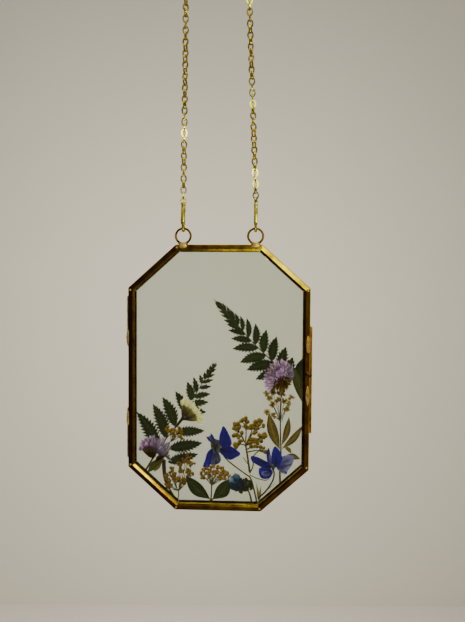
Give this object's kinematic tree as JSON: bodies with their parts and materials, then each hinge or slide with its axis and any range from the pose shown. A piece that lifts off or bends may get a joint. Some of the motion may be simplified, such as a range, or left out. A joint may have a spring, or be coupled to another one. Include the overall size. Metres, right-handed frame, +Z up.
{
  "type": "pressed flower frame",
  "caption": "Hanging octagonal brass frame with two hinged glass panes, dried fronds and flowers pressed between them, on a chain with clasps.",
  "frame": {"origin": "the crown of the chain, on its centre line, where it lies over the peg that carries the frame", "axes": "+X to the viewer's right along the frame's width, +Y away from the viewer, square to the glass, +Z up along the frame's height"},
  "size_m": [0.105, 0.0088, 0.3121],
  "materials": {
    "brass": "antiqued, satin",
    "chain_brass": "polished",
    "clear_glass": "polished",
    "dried_green": "matt, dried leaf",
    "dried_olive": "matt, dried leaf",
    "dried_cream": "matt, dried petal",
    "dried_lilac": "matt, dried petal",
    "dried_blue": "matt, dried petal",
    "dried_yellow": "matt, dried buds",
    "dried_brown": "matt, dried stem"
  },
  "bodies": {
    "hanger": {"chain": "chain_brass", "left_clasp": "chain_brass", "right_clasp": "chain_brass"},
    "left gate": {"left_clasp_gate": "chain_brass"},
    "right gate": {"right_clasp_gate": "chain_brass"},
    "front leaf": {"front_top_bar": "brass", "front_upper_right_bar": "brass", "front_right_bar": "brass", "front_lower_right_bar": "brass", "front_bottom_bar": "brass", "front_lower_left_bar": "brass", "front_left_bar": "brass", "front_upper_left_bar": "brass", "front_glass": "clear_glass", "left_ring": "brass", "right_ring": "brass", "upper_hinge_front_knuckle": "brass", "upper_hinge_pin": "brass", "lower_hinge_front_knuckle": "brass", "lower_hinge_pin": "brass", "latch_strip": "brass", "latch_knob": "brass", "upper_frond": "dried_green", "left_frond": "dried_green", "cream_flower": "dried_cream", "left_bud_cluster": "dried_yellow", "left_lilac_flower": "dried_lilac", "left_lilac_leaf": "dried_green", "left_dark_stem": "dried_brown", "left_bud_sprig": "dried_yellow", "tan_umbel": "dried_yellow", "ovate_leaf_pair": "dried_green", "left_larkspur": "dried_blue", "small_blue_flower": "dried_blue", "green_bud_cluster": "dried_green", "yellow_umbel": "dried_yellow", "right_larkspur": "dried_blue", "leafy_sprig": "dried_olive", "grass_blades": "dried_olive", "right_lilac_flower": "dried_lilac", "right_flower_leaf": "dried_green"},
    "back leaf": {"back_top_bar": "brass", "back_upper_right_bar": "brass", "back_right_bar": "brass", "back_lower_right_bar": "brass", "back_bottom_bar": "brass", "back_lower_left_bar": "brass", "back_left_bar": "brass", "back_upper_left_bar": "brass", "back_glass": "clear_glass", "upper_hinge_back_knuckle": "brass", "lower_hinge_back_knuckle": "brass"}
  },
  "joints": [
    {"name": "frame_swing", "type": "hinge", "parent": "hanger", "child": "front leaf", "pos_m": [0.0018, 0, -0.1511], "axis": [1, 0, 0], "range_deg": [-60, 60]},
    {"name": "back_leaf_opens", "type": "hinge", "parent": "front leaf", "child": "back leaf", "pos_m": [-0.04995, 0.0009, -0.2353], "axis": [0, 0, 1], "range_deg": [0, 170]},
    {"name": "left_gate_opens", "type": "hinge", "parent": "hanger", "child": "left gate", "pos_m": [-0.0185, 0.0013, -0.1425], "axis": [-1, 0, 0], "range_deg": [0, 25], "stiffness_Nm_per_rad": 0.0005, "springref_deg": -17.19},
    {"name": "right_gate_opens", "type": "hinge", "parent": "hanger", "child": "right gate", "pos_m": [0.0221, 0.0013, -0.1425], "axis": [-1, 0, 0], "range_deg": [0, 25], "stiffness_Nm_per_rad": 0.0005, "springref_deg": -17.19}
  ]
}
